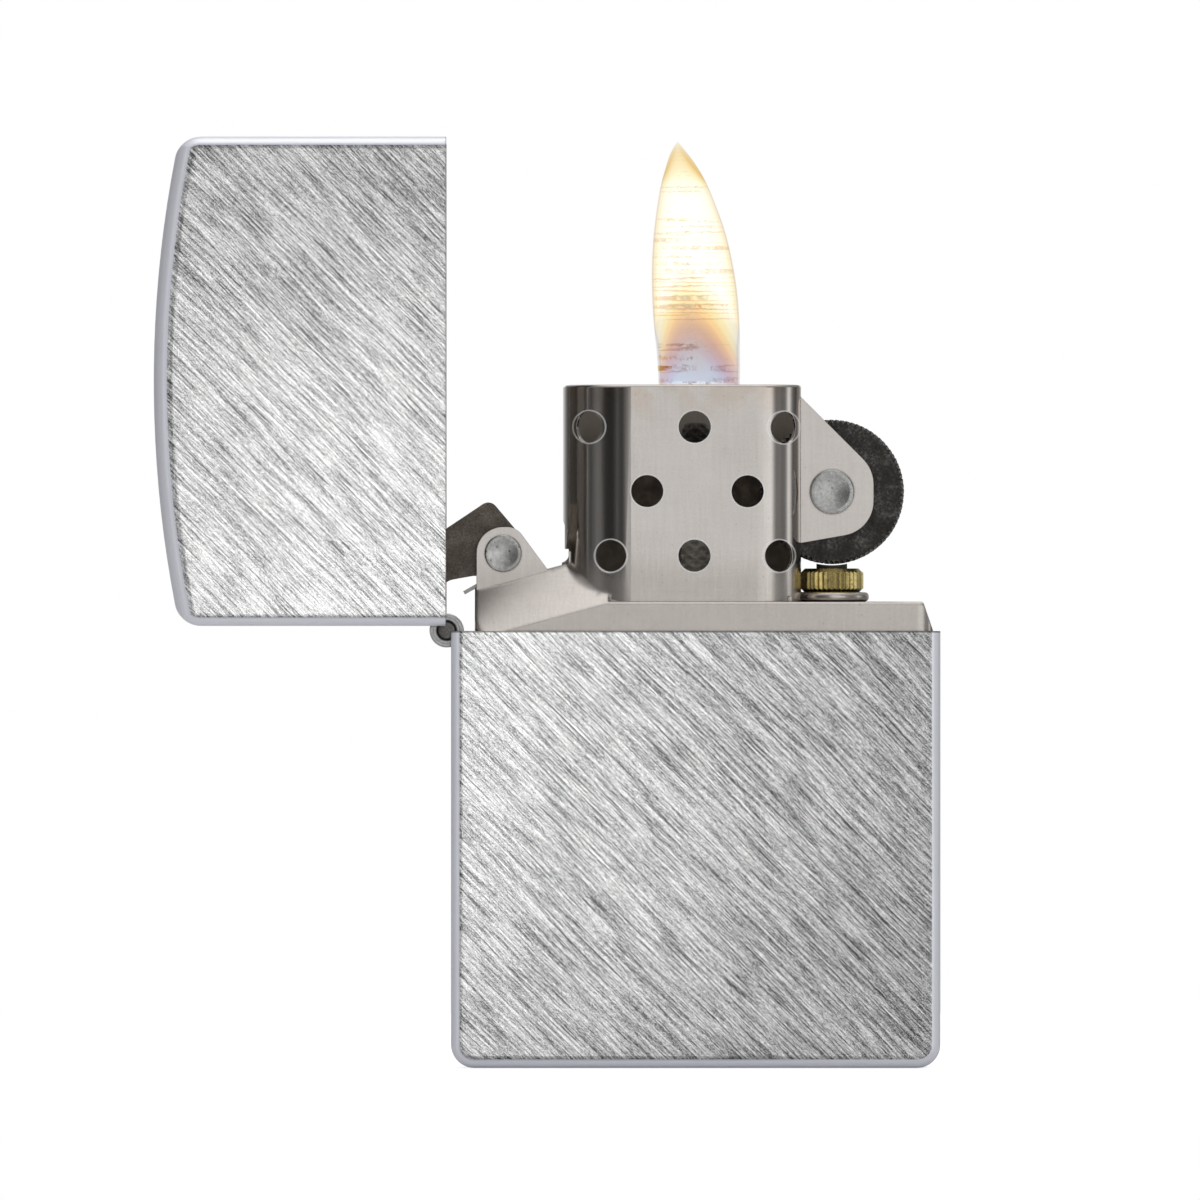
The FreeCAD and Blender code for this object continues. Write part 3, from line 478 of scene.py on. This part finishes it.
MAT = {
    "case_metal": brushed_metal(),
    "insert_metal": nickel(),
    "hinge_metal": hinge_plate(),
    "pin_steel": plain_metal("pin_steel", (.07, .066, .06), (.16, .153, .145), (.36, .35, .335), (.45, .3), 5.0, .6, pits=.6),
    # the rivets darkened in their hollows as painted shade
    "rivet_metal": plain_metal("rivet_nickel", (.24, .235, .225), (.53, .53, .515), (.84, .84, .82), (.36, .20), 3.4, .6, pits=.6, patina_and_shade=.6, bevel=.12),
    "brass": plain_metal("brass", (.22, .15, .055), (.76, .61, .24), (1.0, .96, .60), (.38, .18), 2.6, .35, patina_and_shade=.85, pits=.65, bevel=.05),
    "cam_steel": plain_metal("sintered_steel", (.075, .063, .050), (.175, .150, .124), (.37, .325, .275), (.62, .44), 6.5, .7, metallic=.75, pits=.7, bevel=.06),
    "wheel_steel": plain_metal("wheel_steel", (.014, .013, .011), (.060, .056, .050), (.27, .262, .245), (.60, .36), 5.5, .9, metallic=.7, pits=.6),
    "spring_steel": plain_metal("spring_steel", (.30, .295, .285), (.48, .475, .46), (.68, .67, .65), (.34, .2), 5.0, .1, bevel=.04),
    "flint": plain_metal("flint", (.05, .047, .045), (.11, .105, .10), (.2, .19, .18), (.8, .6), 5.0, .8, metallic=.25, pits=.8),
}


def fibre(name, dark, mid, light, scale, bump, sheen=.4):
    m, g = material(name)
    x, y, z, v, n = g.place()
    warp = g.noise(v, scale * .25, 2)
    a = g.noise(g.vec(g.add(x, g.mul(warp, 1.4)), g.mul(y, .35), g.mul(z, .5)), scale, 4, .65, .8)
    b = g.noise(g.vec(g.mul(x, .4), y, g.add(z, g.mul(warp, 1.6))), scale * 1.4, 3, .65, .6)
    tone = g.add(g.mul(a, .6), g.mul(b, .4))
    base = g.ramp(g.line(tone, .3, .7), [(0, dark), (.5, mid), (1, light)])
    g.surface(base=base, rough=g.line(tone, .3, .7, .98, .85), sheen=sheen, sheen_rough=.6, spec=.15, normal=g.bump(tone, bump, .12))
    return m


MAT["cotton"] = fibre("cotton_fibre", (.62, .60, .55), (.82, .80, .76), (.93, .92, .89), 2.6, .9)
MAT["felt"] = fibre("pressed_felt", (.50, .48, .44), (.66, .64, .60), (.80, .78, .74), 5.0, .7)


def wick_material():
    """Cotton thread with a fine wire in it, burnt black at its tip."""
    m, g = material("wick_braid")
    x, y, z, v, n = g.place()
    a = g.noise(v, 9.0, 3, .6)
    thread = g.ramp(g.line(a, .3, .7), [(0, (.50, .46, .38)), (.5, (.74, .70, .62)), (1, (.88, .85, .79))])
    edge = g.add(z, g.mul(g.sub(g.noise(v, 1.2, 2), .5), 3.0))
    burnt = g.step(edge, 41.5, 46.5)
    char = g.ramp(g.line(a, .3, .7), [(0, (.008, .007, .006)), (.6, (.030, .024, .019)), (1, (.09, .075, .06))])
    base = g.mix(burnt, thread, char)
    g.surface(base=base, rough=.95, spec=.12, sheen=.25, sheen_rough=.7, normal=g.bump(a, .8, .06))
    return m


MAT["wick_cord"] = wick_material()


# ---------------------------------------------------------------- CAD nodes: finishes
SLOTS = {}
for row in frame["record"]["materials"]:
    for node in row.get("nodes", []):
        SLOTS[node] = row["slot"]
FINISH = {
    "case_shell": "case_metal", "lid_shell": "case_metal", "case_hinge_leaf": "hinge_metal", "lid_hinge_leaf": "hinge_metal",
    "hinge_pin": "pin_steel", "insert_shell": "insert_metal", "partition_plate": "insert_metal", "wick": "wick_cord",
    "cotton_packing": "cotton", "felt_pad": "felt", "striker_wheel": "wheel_steel", "wheel_rivet": "rivet_metal",
    "cam_rivet": "rivet_metal", "cam_spring_rivet": "rivet_metal", "flint_tube": "brass", "flint_tube_washer": "insert_metal",
    "flint": "flint", "flint_pusher": "brass", "flint_spring": "spring_steel", "flint_screw": "brass", "cam_lever": "cam_steel",
    "cam_spring": "spring_steel",
}
for name, o in NODES.items():
    slot = FINISH.get(name) or SLOTS.get(name)
    o.data.materials.clear()
    o.data.materials.append(MAT[slot])


# ---------------------------------------------------------------- meshes
def make(name, verts, faces, mat, smooth=True):
    me = bpy.data.meshes.new(name)
    me.from_pydata([tuple(p) for p in verts], [], [tuple(f) for f in faces])
    me.update()
    if smooth:
        me.shade_smooth()
    o = bpy.data.objects.new(name, me)
    SCENE.collection.objects.link(o)
    if mat is not None:
        me.materials.append(mat)
    return o


def grid_faces(rows, cols, close_cols=True, offset=0, flip=False):
    faces = []
    for i in range(rows - 1):
        for j in range(cols if close_cols else cols - 1):
            k = (j + 1) % cols
            q = (offset + i * cols + j, offset + i * cols + k, offset + (i + 1) * cols + k, offset + (i + 1) * cols + j)
            faces.append(q[::-1] if flip else q)
    return faces


# striker wheel: crossed, slanting cuts round its rim and a rough, pressed face each side
def build_wheel():
    lo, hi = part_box("striker_wheel")
    cx, cz = .01063, .04485
    R = (hi.x - lo.x) / 2
    half = 1.9 * MM
    teeth, per = 84, 8
    n = teeth * per
    bore = 1.16 * MM
    hub, hub_y = 2.3 * MM, 2.15 * MM
    prof = []                                             # (y, radius, knurl)
    for r, k in ((hub + .12 * MM, 0), (3.0 * MM, 0), (3.8 * MM, 0), (4.5 * MM, 0), (R - .62 * MM, 0), (R - .34 * MM, .15), (R - .16 * MM, .6)):
        prof.append((-half, r, k))
    rows_y = 22
    for i in range(rows_y):
        yy = -half + half * 2 * i / (rows_y - 1)
        b = 1 - abs(yy) / half
        drop = .07 * MM * (1 - min(1, b * 8)) ** 2
        prof.append((yy, R - drop, 1.0))
    prof += [(-p[0], p[1], p[2]) for p in prof[:7][::-1]]
    prof = [(-hub_y, bore, 0), (-hub_y, 1.7 * MM, 0), (-hub_y, hub - .05 * MM, 0), (-hub_y + .05 * MM, hub, 0), (-half - .02 * MM, hub, 0)] + prof + \
           [(half + .02 * MM, hub, 0), (hub_y - .05 * MM, hub, 0), (hub_y, hub - .05 * MM, 0), (hub_y, 1.7 * MM, 0), (hub_y, bore, 0), (0, bore, 0)]
    depth = .23 * MM
    verts = []
    for (yy, r, k) in prof:
        for j in range(n):
            a = 2 * math.pi * j / n
            p = yy / (2 * half)
            tooth = a * teeth / (2 * math.pi) + p * .8
            jit = .10 * noise.noise(Vector((math.floor(tooth) * 1.7, 3.3, 0)))
            s1 = abs((tooth % 1) * 2 - 1)
            s2 = abs(((p * 5.0 + .5 + a * 1.5) % 1) * 2 - 1)
            cut = min(1, max(0, 1 - s1 * 1.25) * 1.15) + max(0, 1 - s2 * 3.2) * .45 + jit
            rr = r - depth * k * max(0, min(1, cut))
            if k > .5:
                rr -= .035 * MM * abs(noise.noise(Vector((math.cos(a) * 9, math.sin(a) * 9, yy * 900))))
            dy = 0.0
            if 0 <= k < 1 and hub + .05 * MM < r < R:
                q = noise.noise(Vector((r * 1500 * math.cos(a), r * 1500 * math.sin(a), 3.0 if yy > 0 else 9.0)))
                q2 = noise.noise(Vector((a * 18, r * 1400, 5.0)))
                dy = (.035 * q + .03 * q2 - .02) * MM * (1 if yy > 0 else -1)
            verts.append((cx + rr * math.cos(a), yy + dy, cz + rr * math.sin(a)))
    rows = len(prof)
    faces = grid_faces(rows, n, flip=True)
    for j in range(n):
        k = (j + 1) % n
        faces.append(((rows - 1) * n + k, (rows - 1) * n + j, j, k)[::-1])
    o = make("striker_wheel_knurled", verts, faces, MAT["wheel_steel"])
    bm = bmesh.new()
    bm.from_mesh(o.data)
    bmesh.ops.recalc_face_normals(bm, faces=bm.faces)
    bm.to_mesh(o.data)
    bm.free()
    o.data.set_sharp_from_angle(angle=math.radians(38))
    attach(o, "wheel")
    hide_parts("striker_wheel")
    return o


build_wheel()


# wick: a braid of round threads along its route through the tank
WICK = [(0, 50.25), (0, 44.0), (0, 37.5), (0, 30.5), (-1.6, 25.2), (-5.4, 20.4), (-4.7, 17.2), (-3.0, 14.0), (-3.1, 10.8), (-5.2, 8.0), (-6.8, 6.1)]


def route(points, resolution=24):
    curve = bpy.data.curves.new("route", "CURVE")
    curve.dimensions = "3D"
    sp = curve.splines.new("NURBS")
    sp.points.add(len(points) - 1)
    for p, (px, pz) in zip(sp.points, points):
        p.co = (px * MM, 0, pz * MM, 1)
    sp.order_u = 3
    sp.use_endpoint_u = True
    curve.resolution_u = resolution
    o = bpy.data.objects.new("route", curve)
    SCENE.collection.objects.link(o)
    bpy.context.view_layer.update()
    me = bpy.data.meshes.new_from_object(o)
    pts = [v.co.copy() for v in me.vertices]
    bpy.data.objects.remove(o)
    return pts


def build_wick():
    raw = route(WICK)
    length = [0.0]
    for a, b in zip(raw, raw[1:]):
        length.append(length[-1] + (b - a).length)
    rows = int(length[-1] / (.085 * MM))
    cols = 56
    strands = 6
    R = 1.19 * MM
    verts = []
    s_of = np.linspace(0, length[-1], rows)
    xs = np.interp(s_of, length, [p.x for p in raw])
    zs = np.interp(s_of, length, [p.z for p in raw])
    tx, tz = np.gradient(xs), np.gradient(zs)
    ln = np.hypot(tx, tz)
    tx, tz = tx / ln, tz / ln
    for i in range(rows):
        s = s_of[i]
        turn = s / (4.4 * MM)
        nx, nz = -tz[i], tx[i]
        end = min(1, s / (.5 * MM))
        fray = 1.0
        for j in range(cols):
            a = 2 * math.pi * j / cols
            c1 = math.cos(strands * (a + 2 * math.pi * turn))
            c2 = math.cos(strands * (a - 2 * math.pi * turn))
            over = math.sin(strands * a) * .5 + .5
            h = max(c1 * .5 + .5 - .25 * over, c2 * .5 + .5 - .25 * (1 - over))
            r = R * (.86 + .14 * h)
            if s < 2.5 * MM:
                r *= 1 - .10 * (1 - s / (2.5 * MM)) * (1 + noise.noise(Vector((a * 2.5, s * 2200, 4))))
            r *= .55 + .45 * math.sqrt(end) if end < 1 else 1
            verts.append((xs[i] + nx * r * math.cos(a), r * math.sin(a), zs[i] + nz * r * math.cos(a)))
    faces = grid_faces(rows, cols)
    k = len(verts)
    verts += [(xs[0], 0, zs[0] - .05 * MM), (xs[-1], 0, zs[-1])]
    for j in range(cols):
        faces.append((k, (j + 1) % cols, j))
        faces.append((k + 1, (rows - 1) * cols + j, (rows - 1) * cols + (j + 1) % cols))
    o = make("wick_braided", verts, faces, MAT["wick_cord"])
    bm = bmesh.new()
    bm.from_mesh(o.data)
    bmesh.ops.recalc_face_normals(bm, faces=bm.faces)
    bm.to_mesh(o.data)
    bm.free()
    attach(o, "insert")
    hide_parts("wick")


build_wick()


def soft_copy(node, name, voxel, amount, scale, mat, body):
    """A packed soft piece: the CAD solid's own space, with its surface pulled in here and there as fibre is."""
    src = NODES[node]
    me = src.data.copy()
    o = bpy.data.objects.new(name, me)
    SCENE.collection.objects.link(o)
    bm = bmesh.new()
    bm.from_mesh(me)
    bmesh.ops.remove_doubles(bm, verts=bm.verts, dist=2e-6)
    bm.to_mesh(me)
    bm.free()
    mod = o.modifiers.new("remesh", "REMESH")
    mod.mode = "VOXEL"
    mod.voxel_size = voxel * MM
    bpy.context.view_layer.update()
    dg = bpy.context.evaluated_depsgraph_get()
    done = bpy.data.meshes.new_from_object(o.evaluated_get(dg))
    o.modifiers.clear()
    o.data = done
    bm = bmesh.new()
    bm.from_mesh(done)
    for _ in range(3):
        bmesh.ops.smooth_vert(bm, verts=bm.verts, factor=.5, use_axis_x=True, use_axis_y=True, use_axis_z=True)
    bm.normal_update()
    for p in bm.verts:
        c = p.co * 1000
        q = noise.noise(c * scale) * .6 + noise.noise(c * scale * 2.7) * .4
        p.co -= p.normal * amount * MM * (.5 + q)
    bm.to_mesh(done)
    bm.free()
    done.materials.clear()
    done.materials.append(mat)
    done.shade_smooth()
    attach(o, body)
    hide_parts(node)
    return o


soft_copy("cotton_packing", "cotton_balls", .34, .42, .55, MAT["cotton"], "insert")
soft_copy("felt_pad", "felt_pad_pressed", .20, .10, 1.4, MAT["felt"], "insert")


# ---------------------------------------------------------------- flame: not a piece of the lighter, so it is on the stage
def glow(name, colour, density, emit=None, emit_strength=0.0):
    """A clear body that takes a little of some colours from what is behind it, and gives off its own."""
    m = bpy.data.materials.new(name)
    m.use_nodes = True
    g = Graph(m.node_tree)
    absorb = g.node("ShaderNodeVolumeAbsorption", {"Color": colour, "Density": density})
    vol = absorb.outputs[0]
    if emit:
        e = g.node("ShaderNodeEmission", {"Color": emit, "Strength": emit_strength})
        vol = g.node("ShaderNodeAddShader", {0: vol, 1: e.outputs[0]}).outputs[0]
    g.node("ShaderNodeOutputMaterial", {"Volume": vol})
    return m


# the flame's outline: height, left and right side
OUTLINE = [(72.2, -1.43, -1.36), (71.56, -1.85, -.86), (70.93, -2.12, -.32), (70.31, -2.30, .08), (69.69, -2.48, .50), (69.07, -2.66, .80),
           (68.44, -2.80, 1.12), (67.2, -3.0, 1.60), (65.95, -3.17, 2.08), (64.7, -3.30, 2.46), (63.46, -3.38, 2.76), (62.2, -3.42, 3.0),
           (61.0, -3.42, 3.2), (59.7, -3.38, 3.34), (58.5, -3.32, 3.42), (57.2, -3.18, 3.46), (56.0, -3.06, 3.48), (54.7, -2.96, 3.50),
           (53.2, -2.90, 3.48), (51.0, -2.85, 3.40)]
FOOT = 51.3
TOP = 72.2
_z = np.linspace(51.0, TOP, 170)
_l = np.interp(_z, [r[0] for r in OUTLINE][::-1], [r[1] for r in OUTLINE][::-1])
_r = np.interp(_z, [r[0] for r in OUTLINE][::-1], [r[2] for r in OUTLINE][::-1])
for _ in range(12):
    _l[1:-1] = np.convolve(_l, [.25, .5, .25], "valid")
    _r[1:-1] = np.convolve(_r, [.25, .5, .25], "valid")


def sides(z):
    return float(np.interp(z, _z, _l)), float(np.interp(z, _z, _r))


def ease(z, lo, hi, a=0.0, b=1.0):
    t = min(1.0, max(0.0, (z - lo) / (hi - lo)))
    return a + (b - a) * t * t * (3 - 2 * t)


def inset(amount, lo=FOOT, hi=TOP):
    """Sections along the whole flame, in from its outline by an amount or by a function of the height."""
    out = []
    for q in np.linspace(0, 1, 70):
        z = lo + (hi - lo) * q
        d = amount(z) if callable(amount) else amount
        l, r = sides(z)
        if r - l - 2 * d > .03:
            out.append((z, l + d, r - d))
    return out


def dome(top, x, length, power, amount, foot=FOOT):
    """Sections of a rounded cone with its top at (x, top), which widens downwards to the outline."""
    out = []
    for q in np.linspace(1, .02, 44):
        z = top - (top - foot) * q * q
        t = min(1.0, (top - z) / length) ** power
        l, r = sides(z)
        out.append((z, x + (l + amount - x) * t, x + (r - amount - x) * t))
    return out


def flame_body(name, outer, inner, mat, n=44, depth=.8):
    verts, faces = [], []
    for sections, flip in ((outer, False), (inner, True)):
        if not sections:
            continue
        off = len(verts)
        for z, l, r in sections:
            c, h = (l + r) / 2, (r - l) / 2
            for k in range(n):
                t = 2 * math.pi * k / n
                verts.append(((c + h * math.cos(t)) * MM, h * depth * math.sin(t) * MM, z * MM))
        rows = len(sections)
        part = grid_faces(rows, n, offset=off)
        lo, hi = len(verts), len(verts) + 1
        z0, l0, r0 = sections[0]
        z1, l1, r1 = sections[-1]
        verts += [((l0 + r0) / 2 * MM, 0, z0 * MM), ((l1 + r1) / 2 * MM, 0, (z1 + .01) * MM)]
        for k in range(n):
            part.append((lo, off + (k + 1) % n, off + k))
            part.append((hi, off + (rows - 1) * n + k, off + (rows - 1) * n + (k + 1) % n))
        faces += [f[::-1] for f in part] if flip else part
    o = make(name, verts, faces, mat)
    o.visible_shadow = False
    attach(o, "insert")
    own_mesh(o)
    return o


def veil(name, red, green, blue, glow_colour=None, strength=0.0):
    """A clear body that takes that much of each colour per millimetre."""
    most = max(red, green, blue)
    return glow(name, tuple(1 - c / most for c in (red, green, blue)), most * 1000, glow_colour, strength)


# the bright mantle, hollow over the dark zone, and its thin edge
flame_body("flame_core", inset(.12, FOOT + .005, 71.9), dome(62.9, -.85, 5.0, .6, .15, foot=FOOT + .006),
           glow("flame_core", (1.0, 1.0, .99), 4.0, (1.0, .90, .60), 100.0))
flame_body("flame_rim", inset(0.0), inset(lambda z: ease(z, 56, 58.5, .004, .10), FOOT + .01, TOP - .12), veil("flame_rim", .20, .33, .56))
flame_body("flame_rim_soft", inset(.101), inset(lambda z: .104 + ease(z, 56, 59, 0, .24), FOOT + .02, TOP - .5), veil("flame_rim_soft", .02, .06, .19))
flame_body("flame_foot", inset(.002, FOOT + .003), inset(lambda z: .004 + .24 * (1 - ease(z, 55.8, 58.4)), FOOT + .03, TOP - .02), veil("flame_foot", .25, .24, .15))
flame_body("flame_tip", inset(.001, FOOT + .001), dome(71.9, -1.40, 3.0, .5, .003, foot=FOOT + .002), veil("flame_tip", .17, .40, .95))
flame_body("flame_tip_inner", dome(71.89, -1.40, 3.0, .5, .006, foot=FOOT + .007), dome(71.2, -1.30, 3.0, .5, .009, foot=FOOT + .008), veil("flame_tip_inner", .03, .06, .24))
# the dark zone: yellow, peach, then violet and blue down to the mouth
DOMES = [(62.4, -.85, .0, .015, .094), (61.2, -.80, .0, .052, .222), (60.2, -.75, .007, .132, .290), (59.3, -.70, .089, .210, .243),
         (58.5, -.60, .142, .221, .173), (57.7, -.50, .132, .154, .078), (56.9, -.40, .126, .075, .004), (56.0, -.20, .087, .012, .004),
         (55.0, .0, .064, .049, .040)]
for k, (top, x, red, green, blue) in enumerate(DOMES):
    under = dome(DOMES[k + 1][0], DOMES[k + 1][1], 5.0, .6, .09 + .02 * k, foot=FOOT + .04 + .01 * k) if k + 1 < len(DOMES) else None
    flame_body("flame_zone_%d" % k, dome(top, x, 5.0, .6, .072 + .02 * k, foot=FOOT + .035 + .01 * k), under, veil("flame_zone_%d" % k, red, green, blue))


# ---------------------------------------------------------------- sizes: a box rounded to six places
def plain(b):
    return [[round(float(c), 6) for c in b[0]], [round(float(c), 6) for c in b[1]]]
